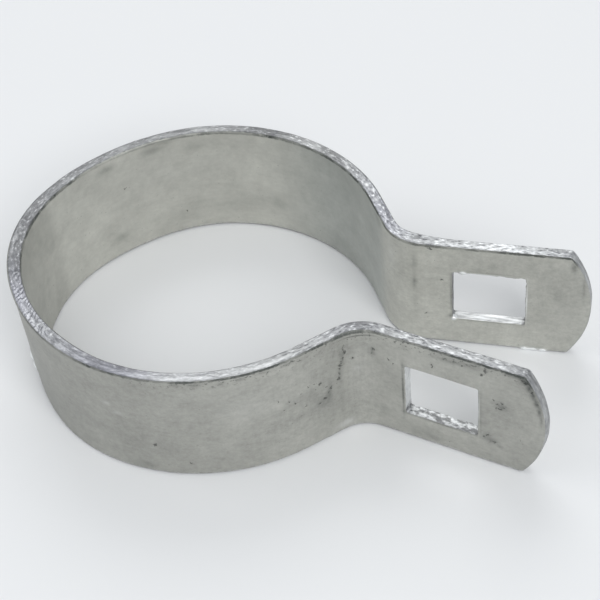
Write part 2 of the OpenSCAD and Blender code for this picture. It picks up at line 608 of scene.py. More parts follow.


# Each mark: along, across (through on a long edge), half length, half height and depth. The thin
# light and dark lines along the slots' rims are painted highlights and painted shade. On the long
# edges, marks below 0 are painted glints, and each dark and bright pair near ±116 mm is a painted
# dimple: a ring of shade round a highlight.
MARKS: dict[Skin, tuple[tuple[float, ...], ...]] = {
    Skin.OUTER: (
        (-80.8, -2.2, 1.7, 1.3, 0.3), (-81.5, 1.5, 2.6, 3.6, 0.16), (-78.0, 1.4, 1.6, 1.2, 0.2),
        (-88.2, 0.4, 1.4, 0.9, 0.14), (-92.5, -6.6, 1.4, 1.0, 0.16),
        (-101.1, -9.6, 1.2, 0.5, 0.26), (-57.6, 10.3, 0.7, 0.5, 0.4),
        (-50.9, -9.7, 1.8, 0.6, 0.26), (-107.3, 10.0, 2.8, 0.7, 0.36),
        (-110.7, -4.7, 1.2, 1.0, 0.32), (-110.2, -2.0, 0.9, 0.9, 0.2),
        (-113.1, 2.9, 0.9, 0.8, 0.5), (-90.4, 6.9, 1.3, 1.2, 0.24), (-84.8, 6.0, 0.45, 2.2, 0.4),
        (-84.2, 2.4, 0.4, 2.0, 0.34), (-84.3, -3.5, 0.4, 3.6, 0.18), (-74.6, 1.0, 1.4, 1.0, 0.18),
        (-115.0, 10.6, 1.4, 0.4, 0.6), (-116.6, 10.1, 0.7, 0.6, 0.95),
        (-117.4, 9.0, 0.5, 0.8, 0.95), (-118.1, 7.6, 0.45, 0.9, 0.9),
        (-118.7, 6.1, 0.4, 0.9, 0.85), (-119.2, 4.5, 0.3, 1.0, 0.75),
        (-119.6, 2.6, 0.25, 1.2, 0.45), (-84.6, -9.6, 2.2, 1.0, -0.35),
        (-88.5, 3.8, 1.4, 0.25, -0.4), (-87.6, 2.4, 1.1, 0.2, -0.3),
        (-47.1, 1.8, 1.2, 0.25, -0.3), (-45.3, 3.4, 0.9, 0.2, -0.3),
        (-51.0, 3.8, 1.3, 0.22, -0.25), (-104.0, 9.6, 2.6, 0.35, 0.3),
        (-90.8, 6.4, 0.3, 1.0, 0.4), (-82.0, -0.6, 0.5, 1.6, 0.34), (-76.0, -3.2, 1.2, 0.6, 0.2),
        (-96.4, 5.6, 0.3, 0.6, 0.4), (-96.3, -0.4, 0.18, 4.6, 0.8),
        (-111.7, -5.7, 1.0, 0.6, 0.42), (-113.0, -6.6, 0.6, 0.4, 0.3),
        (-99.0, -8.6, 2.4, 1.0, 0.14), (-96.6, -5.2, 0.6, 0.5, 0.4),
        (-103.0, -5.55, 4.8, 0.18, 0.45), (-109.45, 0.4, 0.12, 4.4, -0.6),
        (-109.8, 0.0, 0.14, 4.4, 0.3), (-88.2, 10.1, 3.2, 0.13, 0.8),
        (-60.5, 10.2, 0.9, 0.4, 0.5), (-64.5, 9.9, 0.6, 0.3, 0.5), (-67.5, 10.1, 0.8, 0.35, 0.45),
        (-71.0, 10.3, 0.8, 0.3, 0.4), (-75.0, 10.2, 1.2, 0.35, 0.4),
        (-68.0, 3.5, 6.0, 3.5, -0.13), (-88.0, 3.0, 2.6, 4.0, -0.08),
        (-52.0, -6.0, 9.0, 4.0, 0.1), (-32.0, -5.0, 5.0, 5.0, 0.1), (-80.0, -3.0, 3.0, 3.5, 0.1),
        (12.0, 5.5, 5.0, 2.4, 0.12), (34.0, -3.0, 7.0, 3.0, -0.1), (48.5, 8.2, 1.6, 0.8, 0.3),
        (66.0, -7.0, 2.6, 1.2, 0.2), (82.0, 1.5, 2.0, 4.0, 0.16), (98.0, -8.4, 2.2, 0.8, 0.24),
        (113.5, 4.4, 1.4, 1.2, 0.26),
    ),
    Skin.INNER: (
        (16.6, 9.1, 1.8, 0.8, 0.4), (16.9, -7.1, 1.6, 0.8, 0.34), (26.5, 9.2, 2.0, 0.7, 0.34),
        (29.2, 10.4, 1.5, 0.4, 0.3), (31.4, 4.7, 1.5, 1.0, 0.16), (34.5, 8.2, 1.8, 0.9, 0.2),
        (50.5, -4.3, 3.5, 2.2, 0.16), (34.8, -10.3, 0.8, 0.4, 0.2), (81.5, 9.6, 1.6, 1.0, 0.3),
        (91.0, 6.8, 0.35, 1.6, 0.34), (90.9, 2.5, 0.35, 1.3, 0.5), (91.0, -3.0, 0.4, 4.0, 0.14),
        (115.1, 2.2, 0.45, 1.2, 0.3), (30.0, 4.0, 14.0, 4.0, -0.1), (86.6, 6.0, 1.2, 4.0, -0.2),
        (42.0, -6.0, 8.0, 3.0, 0.1), (-112.0, -3.4, 1.3, 1.4, 0.24), (-91.0, 2.0, 0.4, 4.4, 0.26),
        (-66.0, 3.0, 5.0, 3.0, -0.1), (-40.0, -5.6, 3.0, 1.4, 0.16), (96.8, 0.0, 0.18, 4.6, 0.5),
        (96.7, -4.9, 0.5, 0.4, 0.5), (102.2, 5.48, 4.4, 0.13, -0.75),
        (104.0, 5.85, 4.0, 0.13, 0.3), (109.62, 0.0, 0.13, 4.6, -0.65),
        (103.0, -5.6, 5.0, 0.14, 0.35), (117.4, 9.0, 0.5, 1.2, 0.6), (119.2, 4.6, 0.25, 2.4, 0.4),
    ),
    Skin.EDGE: (
        (-16.1, 0.0, 0.4, 1.6, 0.75), (-14.2, 0.4, 1.0, 0.6, 0.4), (-12.4, -0.3, 1.0, 0.7, 0.36),
        (-8.0, 0.4, 0.9, 0.4, -0.2), (-3.2, 0.0, 0.9, 1.4, 0.3), (4.2, 0.0, 0.6, 1.2, 0.25),
        (9.5, -0.8, 0.4, 0.25, -0.6), (-36.6, 0.1, 0.25, 0.5, -0.3),
        (-33.8, -0.2, 0.3, 0.5, -0.5), (-32.2, -0.3, 0.3, 0.45, -0.45),
        (-30.4, -0.1, 0.3, 0.4, -0.5), (-28.8, 0.2, 0.25, 0.4, -0.45),
        (-35.2, 0.3, 0.3, 0.6, 0.35), (-32.9, 0.5, 0.3, 0.5, 0.35), (-41.5, -0.6, 0.5, 0.4, -0.3),
        (-73.0, 0.4, 4.0, 0.5, -0.3), (-57.0, 0.5, 1.6, 0.3, -0.3), (21.5, -0.1, 0.9, 0.6, -0.2),
        (27.5, 0.1, 1.2, 0.6, -0.25), (35.8, 0.3, 1.4, 0.7, -0.2), (46.2, 0.0, 1.0, 1.2, 0.3),
        (50.3, 0.0, 0.5, 1.4, 0.55), (63.0, -0.2, 0.5, 0.4, -0.4), (66.4, 0.2, 0.6, 0.4, -0.4),
        (73.6, -0.1, 0.6, 0.4, -0.5), (75.4, 0.3, 0.5, 0.3, -0.5), (78.0, -0.2, 0.6, 0.4, -0.4),
        (80.5, -0.5, 0.5, 0.4, 0.35), (-116.1, 0.0, 0.75, 0.8, 0.7),
        (-116.06, 0.0, 0.34, 0.36, -1.3), (116.2, -0.5, 0.7, 0.6, 0.8),
        (116.2, -0.5, 0.25, 0.25, -0.8), (113.6, -0.7, 1.0, 0.3, 0.4),
    ),
}
SMUDGES_AND_PAINTED_LIGHT = tuple(SmudgeAndPaintedLight(*mark, skin) for skin, marks in MARKS.items() for mark in marks)


@dataclass(frozen=True)
class Drip:
    """A bead of zinc that set on an edge or a face.

    Attributes:
        along: Place along the strip.
        across: Place across it.
        through: Place through it.
        reach: Half its width each way.
        height: How far it stands proud.
    """

    along: float
    across: float
    through: float
    reach: tuple[float, float, float]
    height: float

    def rise(self, flat: np.ndarray) -> np.ndarray:
        """How far it lifts each flat place: height * exp(-d^2), with d the distance in reaches."""
        offset = (flat - np.array([self.along, self.across, self.through])) / np.array(self.reach)
        return self.height * np.exp(-(offset**2).sum(axis=1))


@dataclass(frozen=True)
class Stray:
    """A stretch where the formed strip strays from its true line.

    Attributes:
        along: Middle of the stretch.
        length: Half its length.
        outward: How far the strip's middle lies outside its true line.
        flare: How much further out it lies at flare_at than at its middle.
        flare_at: Height across the strip that the flare is given for.
    """

    along: float
    length: float
    outward: float
    flare: float
    flare_at: float = 11.0

    def offset(self, flat: np.ndarray) -> np.ndarray:
        """Outward offset of flat places: (outward + flare * v / flare_at) * exp(-d^2)."""
        fade = np.exp(-(((flat[:, 0] - self.along) / self.length) ** 2))
        return (self.outward + self.flare * flat[:, 1] / self.flare_at) * fade


@dataclass(frozen=True)
class PunchError:
    """A slot that was punched a little off its true place.

    Attributes:
        along: Middle of the slot along the strip.
        offset: How far off it is, along and across the strip.
        reach: How far from the slot's middle the metal moves with it, along and across.
        fade: Over how much of that reach the movement dies away, along and across.
    """

    along: float
    offset: tuple[float, float]
    reach: tuple[float, float] = (10.5, 10.6)
    fade: tuple[float, float] = (3.5, 4.0)

    def shift(self, flat: np.ndarray) -> np.ndarray:
        """How the metal moves: offset * the smaller of (reach - distance) / fade, from 0 to 1.

        Args:
            flat: N x 3 flat places.

        Returns:
            N x 3 shifts.
        """
        distance = np.abs(flat[:, :2] - np.array([self.along, 0.0]))
        inward = ((np.array(self.reach) - distance) / np.array(self.fade)).min(axis=1)
        return np.clip(inward, 0.0, 1.0)[:, None] * np.array([*self.offset, 0.0])


@dataclass(frozen=True)
class Layer:
    """One layer of soft noise in the relief.

    Attributes:
        cells: Size of its lattice boxes along, across and through the strip.
        seed: Which noise it is.
        share: How strong it is.
    """

    cells: tuple[float, float, float]
    seed: int
    share: float = 1.0

    def over(self, flat: np.ndarray) -> np.ndarray:
        """Its value at each flat place."""
        return self.share * lattice_noise(flat, self.cells, self.seed)


@dataclass(frozen=True)
class ZincRelief:
    """The uneven skin that rolling, slitting, punching and dipping leave on the strip.

    Attributes:
        face_swell: Height of the faint swells on the rolled faces.
        streak_height: Height of the streaks that run along a slit edge.
        grain_height: Height of the coarse grain on a slit edge.
        edge_wander: How far a slit edge wanders in and out.
        burr_height: How far the burr stands round a slot on the side that the punch left.
        torn_from: Distance along the strip past which the burr is torn into teeth.
        bead_spread: How much wider than its height a bead takes the cut finish and is painted bright.
        swells: Noise of the faint swells.
        streaks: Noise of the streaks.
        grains: Noise of the coarse grain.
        wander: Noise of the edge's wander.
        teeth: Noise of the torn burr.
        drips: Beads of zinc.
        lips: Raised lips, where the slitting blade turned an edge over or a bend squeezed it out.
        strays: Stretches where the strip strays from its true line.
        punch_errors: The slots that are off their true place.
    """

    face_swell: float = 0.012
    streak_height: float = 0.045
    grain_height: float = 0.035
    edge_wander: float = 0.04
    burr_height: float = 0.07
    torn_from: float = 103.0
    bead_spread: float = 1.6
    swells: tuple[Layer, ...] = (Layer((5.0, 4.0, 3.0), 11), Layer((1.3, 1.1, 1.5), 17, 0.3))
    streaks: tuple[Layer, ...] = (Layer((5.5, 5.5, 0.42), 12), Layer((2.2, 2.2, 0.3), 13, 0.5))
    grains: tuple[Layer, ...] = (Layer((0.75, 0.75, 0.6), 14), Layer((0.42, 0.42, 0.4), 15, 0.6))
    wander: Layer = Layer((6.0, 6.0, 1.0), 16)
    teeth: Layer = Layer((0.6, 0.6, 9.0), 18, 0.7)
    drips: tuple[Drip, ...] = (
        Drip(-21.8, -3.3, 1.05, (0.9, 0.9, 1.0), 0.42),
        Drip(-21.6, -5.8, 1.05, (0.8, 0.8, 1.0), 0.38),
        Drip(109.8, -11.1, -0.7, (0.8, 0.6, 0.8), 0.36),
        Drip(111.3, -11.1, -0.8, (0.6, 0.5, 0.7), 0.22),
        Drip(112.9, -11.1, -0.7, (0.7, 0.5, 0.8), 0.3),
        Drip(98.8, 5.4, -0.9, (0.6, 0.4, 0.5), 0.3),
        Drip(97.2, -5.4, -0.7, (0.5, 0.5, 0.5), 0.25),
    )
    lips: tuple[Drip, ...] = (
        Drip(-7.0, 11.1, 1.05, (15.0, 1.5, 1.1), 0.42),
        Drip(-34.0, 11.1, -1.05, (9.0, 1.3, 1.0), 0.25),
        Drip(36.0, 11.1, -1.05, (26.0, 1.2, 1.0), 0.16),
        Drip(90.5, 10.6, 1.05, (4.0, 3.0, 1.1), 0.42),
        Drip(-87.0, 10.8, 1.05, (4.0, 2.4, 1.1), 0.26),
    )
    strays: tuple[Stray, ...] = (
        Stray(-6.0, 14.0, 0.25, 0.4),
        Stray(20.0, 12.0, -0.6, 0.3),
        Stray(-25.0, 10.0, -0.2, 0.3),
    )
    punch_errors: tuple[PunchError, ...] = (
        PunchError(-102.97, (0.25, -0.36)),
        PunchError(103.21, (0.22, 0.05)),
    )

    def beads(self, flat: np.ndarray) -> np.ndarray:
        """How thick the drips lie at each flat place, from 0 to 1."""
        thickness = sum(drip.rise(flat) / drip.height for drip in self.drips)
        return np.clip(thickness * self.bead_spread, 0.0, 1.0)

    def heights(self, flat: np.ndarray, cut: np.ndarray, slot: np.ndarray) -> np.ndarray:
        """How far each point of the skin stands proud.

        The faces swell by two noises; the cut walls have streaks, grain and a slow wander in place
        of them; the burr is a ridge near a slot's inner rim; drips and lips come on top.

        Args:
            flat: N x 3 flat places.
            cut: N cut values.
            slot: N values that are 1 on a slot's walls.

        Returns:
            N heights along the skin's outward normal.
        """
        swell = self.face_swell * sum(layer.over(flat) for layer in self.swells)
        rough = self.streak_height * sum(layer.over(flat) for layer in self.streaks)
        rough += self.grain_height * sum(layer.over(flat) for layer in self.grains)
        rough += self.edge_wander * self.wander.over(flat * np.array([1.0, 1.0, 0.0]))
        height = swell * (1 - cut) + rough * cut
        torn = 1.0 + 2.0 * (np.abs(flat[:, 0]) > self.torn_from)
        teeth = 0.6 + torn * self.teeth.over(flat)
        near_inner = np.exp(-(((flat[:, 2] + 1.0) / 0.28) ** 2))
        height += self.burr_height * slot * near_inner * teeth
        return height + sum(drip.rise(flat) for drip in self.drips + self.lips)

    def strayed(self, flat: np.ndarray) -> np.ndarray:
        """Flat places moved to where the slots and the strip's line really are.

        Args:
            flat: N x 3 flat places.

        Returns:
            N x 3 places: each plus every slot's shift, and plus every stray's offset outwards.
        """
        moved = flat + sum(error.shift(flat) for error in self.punch_errors)
        moved[:, 2] += sum(stray.offset(flat) for stray in self.strays)
        return moved


@dataclass
class BraceBand:
    """The whole band: one strip, flat first and then formed.

    Attributes:
        name: Name of the piece.
        line: The formed middle line.
        strip: The flat strip.
        relief: The zinc's relief.
    """

    name: str = "formed_band"
    line: FormedLine = field(default_factory=FormedLine)
    strip: FlatStrip = field(default_factory=FlatStrip)
    relief: ZincRelief = field(default_factory=ZincRelief)

    def welded(self) -> tuple[np.ndarray, np.ndarray, np.ndarray, np.ndarray]:
        """Joins the patches into one closed skin.

        Points that fall on the same flat place to within a hundred-thousandth of a millimetre
        become one.

        Returns:
            N x 3 flat places, N cut values, N slot values and M x 4 corner numbers.
        """
        places, cuts, slots, faces = [], [], [], []
        first = 0
        for patch in self.strip.patches(self.line):
            faces.append(patch.quads(first))
            places.append(patch.places.reshape(-1, 3))
            cuts.append(patch.cut.ravel())
            slots.append(patch.slot.ravel())
            first += len(places[-1])
        every = np.concatenate(places)
        rounded = np.round(every, 5)
        _, keep, number = np.unique(rounded, axis=0, return_index=True, return_inverse=True)
        corners = number.ravel()[np.concatenate(faces)]
        cut = np.zeros(len(keep))
        slot = np.zeros(len(keep))
        np.maximum.at(cut, number.ravel(), np.concatenate(cuts))
        np.maximum.at(slot, number.ravel(), np.concatenate(slots))
        return every[keep], cut, slot, corners

    @staticmethod
    def normals(flat: np.ndarray, corners: np.ndarray) -> np.ndarray:
        """Outward normals of the skin's points, as the sum of the normals of the faces round each.

        Args:
            flat: N x 3 places.
            corners: M x 4 corner numbers.

        Returns:
            N x 3 unit vectors.
        """
        a, b, c, d = (flat[corners[:, k]] for k in range(4))
        across = np.cross(c - a, d - b)
        total = np.zeros_like(flat)
        for k in range(4):
            np.add.at(total, corners[:, k], across)
        return total / np.linalg.norm(total, axis=1, keepdims=True)

    def build(self) -> bpy.types.Object:
        """Makes the mesh, in metres, with the flat places and cut values kept as attributes.

        Returns:
            The band's object.
        """
        flat, cut, slot, corners = self.welded()
        proud = self.relief.heights(flat, cut, slot)
        raised = flat + self.normals(flat, corners) * proud[:, None]
        formed = self.line.carry(self.relief.strayed(raised)) * MM
        mesh = bpy.data.meshes.new(self.name)
        mesh.from_pydata(formed, [], corners[:, ::-1])
        mesh.polygons.foreach_set("use_smooth", np.ones(len(corners), bool))
        place = mesh.attributes.new("strip_place", "FLOAT_VECTOR", "POINT")
        place.data.foreach_set("vector", flat.astype(np.float32).ravel())
        # Marks: smudges and die marks, with painted shade and painted highlights among them.
        soil = sum(smudge_and_shade.soil(flat) for smudge_and_shade in SMUDGES_AND_PAINTED_LIGHT)
        beads = self.relief.beads(flat)
        # The drips' mark value is set to -1, which paints them bright as a painted highlight.
        soil = soil * (1 - beads) - beads
        cut = np.maximum(cut, beads)
        for label, values in (("cut", cut), ("slot_wall", slot), ("soil", soil)):
            attribute = mesh.attributes.new(label, "FLOAT", "POINT")
            attribute.data.foreach_set("value", values.astype(np.float32))
        mesh.validate()
        return add_object(self.name, mesh)


class Signal:
    """A number that a node puts out; Python's operators on it add Math nodes."""

    def __init__(self, sheet: NodeSheet, socket: bpy.types.NodeSocket) -> None:
        """Wraps one output socket of a sheet."""
        self.sheet = sheet
        self.socket = socket

    def _math(self, operation: str, *others: Signal | float) -> Signal:
        """Adds one Math node whose first input is this signal."""
        return self.sheet.add("ShaderNodeMath", {"operation": operation}, [self, *others])

    def __add__(self, other: Signal | float) -> Signal:
        """Sum."""
        return self._math("ADD", other)

    def __radd__(self, other: float) -> Signal:
        """Sum, number first."""
        return self._math("ADD", other)

    def __sub__(self, other: Signal | float) -> Signal:
        """Difference."""
        return self._math("SUBTRACT", other)

    def __rsub__(self, other: float) -> Signal:
        """Difference, number first."""
        return self.sheet.add("ShaderNodeMath", {"operation": "SUBTRACT"}, [other, self])

    def __mul__(self, other: Signal | float) -> Signal:
        """Product."""
        return self._math("MULTIPLY", other)

    def __rmul__(self, other: float) -> Signal:
        """Product, number first."""
        return self._math("MULTIPLY", other)

    def __abs__(self) -> Signal:
        """Size without sign."""
        return self._math("ABSOLUTE")

    def most(self, other: Signal | float) -> Signal:
        """The larger of two."""
        return self._math("MAXIMUM", other)

    def least(self, other: Signal | float) -> Signal:
        """The smaller of two."""
        return self._math("MINIMUM", other)

    def wave(self) -> Signal:
        """Sine of the signal, in radians."""
        return self._math("SINE")

    def grey(self) -> Signal:
        """A grey colour's value."""
        return self.sheet.add("ShaderNodeSeparateColor", {}, [self])

    def step(self, low: float, high: float) -> Signal:
        """A soft step from 0 at low to 1 at high.

        Args:
            low: Where it is 0, above or below high.
            high: Where it is 1.

        Returns:
            The step.
        """
        settings = {"interpolation_type": "SMOOTHSTEP", "clamp": True}
        if low <= high:
            return self.sheet.add("ShaderNodeMapRange", settings, [self, low, high, 0.0, 1.0])
        return self.sheet.add("ShaderNodeMapRange", settings, [self, high, low, 1.0, 0.0])

    def zone(self, rise: tuple[float, float], fall: tuple[float, float]) -> Signal:
        """A zone that is 1 in its middle: a soft step up over rise and down over fall."""
        return self.step(*rise) * self.step(fall[1], fall[0])


class NodeSheet:
    """A material's or a world's nodes, added by type, settings and inputs."""

    def __init__(self, owner: bpy.types.Material | bpy.types.World) -> None:
        """Clears the owner's nodes and gives it an output node.

        Args:
            owner: The material or world.
        """
        owner.use_nodes = True
        self.tree = owner.node_tree
        self.tree.nodes.clear()
        kind = "World" if isinstance(owner, bpy.types.World) else "Material"
        self.end = self.tree.nodes.new("ShaderNodeOutput" + kind)

    def node(self, kind: str, settings: dict, inputs: dict | Sequence) -> bpy.types.Node:
        """Adds any node.

        Args:
            kind: The node's type.
            settings: Its settings, made before anything is joined to it.
            inputs: Values or signals for its sockets, in order or by name or number.

        Returns:
            The node.
        """
        made = self.tree.nodes.new(kind)
        for key, value in settings.items():
            if key == "stops":
                self._set_stops(made.color_ramp, value)
            elif key == "interpolation":
                made.color_ramp.interpolation = value
            else:
                setattr(made, key, value)
        pairs = inputs.items() if isinstance(inputs, dict) else enumerate(inputs)
        for key, value in pairs:
            if isinstance(value, Signal):
                self.tree.links.new(value.socket, made.inputs[key])
            elif value is not None:
                made.inputs[key].default_value = value
        return made

    @staticmethod
    def _set_stops(ramp: bpy.types.ColorRamp, stops: Sequence[tuple[float, tuple]]) -> None:
        """Sets a ramp's stops.

        Args:
            ramp: The ramp.
            stops: A place from 0 to 1 and a colour for each stop.
        """
        while len(ramp.elements) < len(stops):
            ramp.elements.new(1.0)
        for element, (place, colour) in zip(ramp.elements, stops):
            element.position = place
            element.color = colour

    def show(self, kind: str, inputs: dict | Sequence) -> None:
        """Adds a shader node and shows it on the owner's surface."""
        shader = self.node(kind, {}, inputs)
        self.tree.links.new(shader.outputs[0], self.end.inputs["Surface"])

    def add(self, kind: str, settings: dict, inputs: dict | Sequence, output: int | str = 0) -> Signal:
        """Adds any node and returns one of its outputs."""
        return Signal(self, self.node(kind, settings, inputs).outputs[output])

    def attribute(self, name: str, output: str = "Fac") -> Signal:
        """Reads an attribute of the mesh."""
        return self.add("ShaderNodeAttribute", {"attribute_name": name}, {}, output)

    def vector(self, operation: str, inputs: dict | Sequence, output: int | str = 0) -> Signal:
        """Adds one Vector Math node."""
        return self.add("ShaderNodeVectorMath", {"operation": operation}, inputs, output)

    def stretch(self, vector: Signal, scale: tuple[float, ...]) -> Signal:
        """A vector times a fixed scale for each axis."""
        return self.vector("MULTIPLY", [vector, scale])

    def noise(
        self,
        vector: Signal,
        cell: tuple[float, float, float],
        detail: float = 2.0,
        rough: float = 0.5,
    ) -> Signal:
        """Noise about 0.5.

        Args:
            vector: Where it is read.
            cell: About how large its blots are along each axis, in the vector's unit.
            detail: How many finer noises lie over the first.
            rough: How strong each of them is against the one before.

        Returns:
            The noise.
        """
        scaled = self.stretch(vector, tuple(1.0 / c for c in cell))
        inputs = {"Vector": scaled, "Scale": 1.0, "Detail": detail, "Roughness": rough}
        return self.add("ShaderNodeTexNoise", {}, inputs)

    def mix(self, factor: Signal | float, low: Signal | tuple, high: Signal | tuple) -> Signal:
        """A colour between two."""
        return self.add("ShaderNodeMix", {"data_type": "RGBA"}, {0: factor, 6: low, 7: high}, 2)

    def shade(self, colour: Signal | tuple, by: Signal) -> Signal:
        """A colour made lighter or darker by a number near 1."""
        start = colour if isinstance(colour, Signal) else colour[:3]
        return self.vector("SCALE", {"Vector": start, "Scale": by})


def srgb(red: int, green: int, blue: int) -> Colour:
    """A colour as it is seen turned into the linear one that a socket takes.

    Args:
        red: Red from 0 to 255.
        green: Green from 0 to 255.
        blue: Blue from 0 to 255.

    Returns:
        The linear colour, with an alpha of 1.
    """
    seen = np.array([red, green, blue]) / 255.0
    linear = np.where(seen <= 0.04045, seen / 12.92, ((seen + 0.055) / 1.055) ** 2.4)
    return (float(linear[0]), float(linear[1]), float(linear[2]), 1.0)


@dataclass(frozen=True)
class GalvanisedFinish:
    """Matt hot-dip zinc on the rolled faces, brighter and streaked where the strip was cut.

    Each curve is a row of places along the strip with a value at each.

    Attributes:
        inner_face: Colour of the inner face, lighter than the outer face's as painted light.
        outer_face: Colour of the outer face.
        cool_shade: Colour of the darker, cooler painted shade on the inner face.
        smudge_and_shade: Colour of smudges, painted shade and the painted shadow line under a cut
            edge.
        pit: Colour at the bottom of a pit.
        bright: Colour of freshly cut zinc, and of the painted highlights and glints.
        violet_reflection: Colour of its duller stretches, a painted lavender reflection.
        fleck: Colour of the dark flecks in it.
        inner_tones: Lightness of the inner face, with painted light and shade along the strip.
        outer_tones: Lightness of the outer face, with painted light and shade along the strip.
        edge_tones: Lightness of the long edges.
        violet_reflection_tones: How strongly the long edges take the painted reflection.
        grain_tones: How strongly the long edges are flecked.
        outer_shadow_lines: Darkness of the painted shadow line where the top edge meets the outer
            face.
        inner_shadow_lines: Darkness of the painted shadow line where the top edge meets the inner
            face.
        outer_pits: Pits on the outer face: along, across and radius.
        inner_pits: Pits on the inner face.
        pit_reach: How far a pit reaches and how far its floor does, in its radius.
        ramp_reach: Distance along the strip that a curve's ends stand for.
    """

    inner_face: Colour = srgb(186, 186, 179)
    outer_face: Colour = srgb(163, 163, 157)
    cool_shade: Colour = srgb(162, 168, 166)
    smudge_and_shade: Colour = srgb(76, 80, 77)
    pit: Colour = srgb(52, 55, 52)
    bright: Colour = srgb(246, 248, 248)
    violet_reflection: Colour = srgb(220, 221, 236)
    fleck: Colour = srgb(104, 105, 114)
    inner_tones: Stops = (
        (-104.0, 1.02), (-84.0, 1.06), (-50.0, 0.98), (-8.0, 0.87), (0.0, 0.92), (4.0, 1.1),
        (17.0, 1.01), (33.0, 0.96), (45.0, 1.05), (62.0, 0.96), (76.0, 0.98), (84.0, 1.1),
        (92.0, 1.13), (104.0, 1.05), (115.0, 0.9),
    )
    outer_tones: Stops = (
        (-114.0, 1.04), (-102.0, 1.17), (-92.0, 1.14), (-84.0, 1.0), (-74.0, 1.12), (-60.0, 1.0),
        (-36.0, 0.94), (-27.0, 0.88), (-8.0, 0.98), (60.0, 1.02), (84.0, 1.0), (96.0, 1.12),
    )
    edge_tones: Stops = (
        (-120.0, 0.33), (-112.0, 0.54), (-100.0, 0.47), (-94.0, 0.44), (-89.0, 0.33),
        (-80.0, 0.42), (-76.0, 0.37), (-72.0, 0.43), (-66.0, 0.48), (-57.0, 0.48), (-46.0, 0.3),
        (-36.0, 0.43), (-26.0, 0.5), (-20.0, 0.42), (-14.0, 0.25), (0.0, 0.25), (12.0, 0.26),
        (30.0, 0.29), (38.0, 0.35), (47.0, 0.24), (52.0, 0.24), (57.0, 0.4), (63.0, 0.26),
        (72.0, 0.41), (82.0, 0.4), (92.0, 0.54), (98.0, 0.6), (104.0, 0.78), (114.0, 0.56),
        (120.0, 0.48),
    )
    violet_reflection_tones: Stops = (
        (-95.0, 0.1), (-88.0, 0.35), (-75.0, 0.0), (-58.0, 0.2), (-47.0, 1.0), (-32.0, 0.4),
        (-22.0, 0.9), (-10.0, 0.3), (30.0, 0.1), (60.0, 0.0), (84.0, 0.8), (92.0, 0.1),
    )
    grain_tones: Stops = (
        (-92.0, 1.0), (-86.0, 0.8), (-70.0, 0.45), (-46.0, 0.2), (-20.0, 0.4), (0.0, 0.5),
        (20.0, 0.25), (46.0, 0.5), (60.0, 0.35), (84.0, 0.8), (94.0, 1.0),
    )
    outer_shadow_lines: Stops = (
        (-112.0, 0.9), (-90.0, 0.7), (-80.0, 0.9), (-57.0, 0.9), (-52.0, 0.5), (-44.0, 0.9),
        (-38.0, 0.3), (-31.0, 0.5), (-22.0, 0.0),
    )
    inner_shadow_lines: Stops = (
        (-28.0, 0.3), (-12.0, 0.7), (6.0, 0.9), (14.0, 0.25), (28.0, 0.25), (37.0, 0.6),
        (45.0, 0.3), (50.0, 0.95), (54.0, 0.4), (62.0, 0.75), (80.0, 0.8), (94.0, 0.6),
        (112.0, 0.8),
    )
    outer_pits: Pits = (
        (-93.8, 5.7, 0.24), (-94.5, 5.0, 0.16), (-101.4, 7.6, 0.17), (-110.2, 9.9, 0.26),
        (-109.7, 8.8, 0.22), (-113.1, 3.7, 0.2), (-112.4, 3.2, 0.22), (-113.5, 2.9, 0.2),
        (-112.9, 2.3, 0.2), (-112.2, 2.4, 0.14), (-111.7, 4.0, 0.13), (-111.0, -4.5, 0.24),
        (-110.4, -5.0, 0.16), (-90.9, 7.2, 0.2), (-90.6, 6.2, 0.16), (-82.3, 0.4, 0.18),
        (-81.9, -0.5, 0.2), (-79.6, 1.6, 0.14), (-77.4, -0.9, 0.14), (-76.4, -2.7, 0.16),
        (-106.4, 9.3, 0.16), (-103.6, 9.7, 0.14), (-75.6, 0.7, 0.2), (-74.7, 1.7, 0.15),
        (-78.2, 3.2, 0.15), (-52.7, -4.3, 0.32), (-58.0, -8.3, 0.18), (-85.4, 6.9, 0.26),
        (-85.0, 5.7, 0.2), (-84.4, 4.4, 0.32), (-84.1, 3.7, 0.22), (-83.8, 1.5, 0.26),
        (-80.4, 2.5, 0.22), (-81.2, -1.4, 0.26), (-117.0, 9.8, 0.26), (-118.0, 8.1, 0.2),
        (-118.8, 5.9, 0.13), (-116.1, 10.5, 0.18), (-85.2, 8.3, 0.14), (-84.9, 7.6, 0.2),
        (-84.6, 5.1, 0.18), (-84.0, 2.7, 0.14), (-83.6, 0.6, 0.14), (-81.6, 1.2, 0.12),
        (-80.0, -2.0, 0.14), (-79.2, 3.0, 0.12), (-76.9, 2.2, 0.14), (-73.9, 0.2, 0.12),
        (-72.8, 2.6, 0.12), (-86.9, 5.0, 0.12), (-112.1, -5.9, 0.16), (-111.4, -5.6, 0.12),
        (22.4, -4.1, 0.2), (58.8, 3.6, 0.24), (59.6, 2.7, 0.15), (93.7, 7.3, 0.2),
    )
    inner_pits: Pits = (
        (93.4, 10.3, 0.26), (95.3, 3.3, 0.17), (19.7, 3.3, 0.18), (31.5, -6.5, 0.2),
        (92.6, -4.7, 0.16), (-52.0, 4.8, 0.18), (-95.0, -7.6, 0.2),
    )

    pit_reach: tuple[float, float] = (1.6, 0.35)
    ramp_reach: float = 125.0

    def curve(self, sheet: NodeSheet, along: Signal, stops: Stops) -> Signal:
        """A value that runs smoothly through stops along the strip.

        Args:
            sheet: The material's nodes.
            along: Place along the strip.
            stops: Places along the strip and the value at each.

        Returns:
            The value.
        """
        reach = self.ramp_reach
        ramp = [((place + reach) / (2 * reach), (value,) * 3 + (1.0,)) for place, value in stops]
        share = (along + reach) * (0.5 / reach)
        settings = {"interpolation": "EASE", "stops": ramp}
        return sheet.add("ShaderNodeValToRGB", settings, [share]).grey()

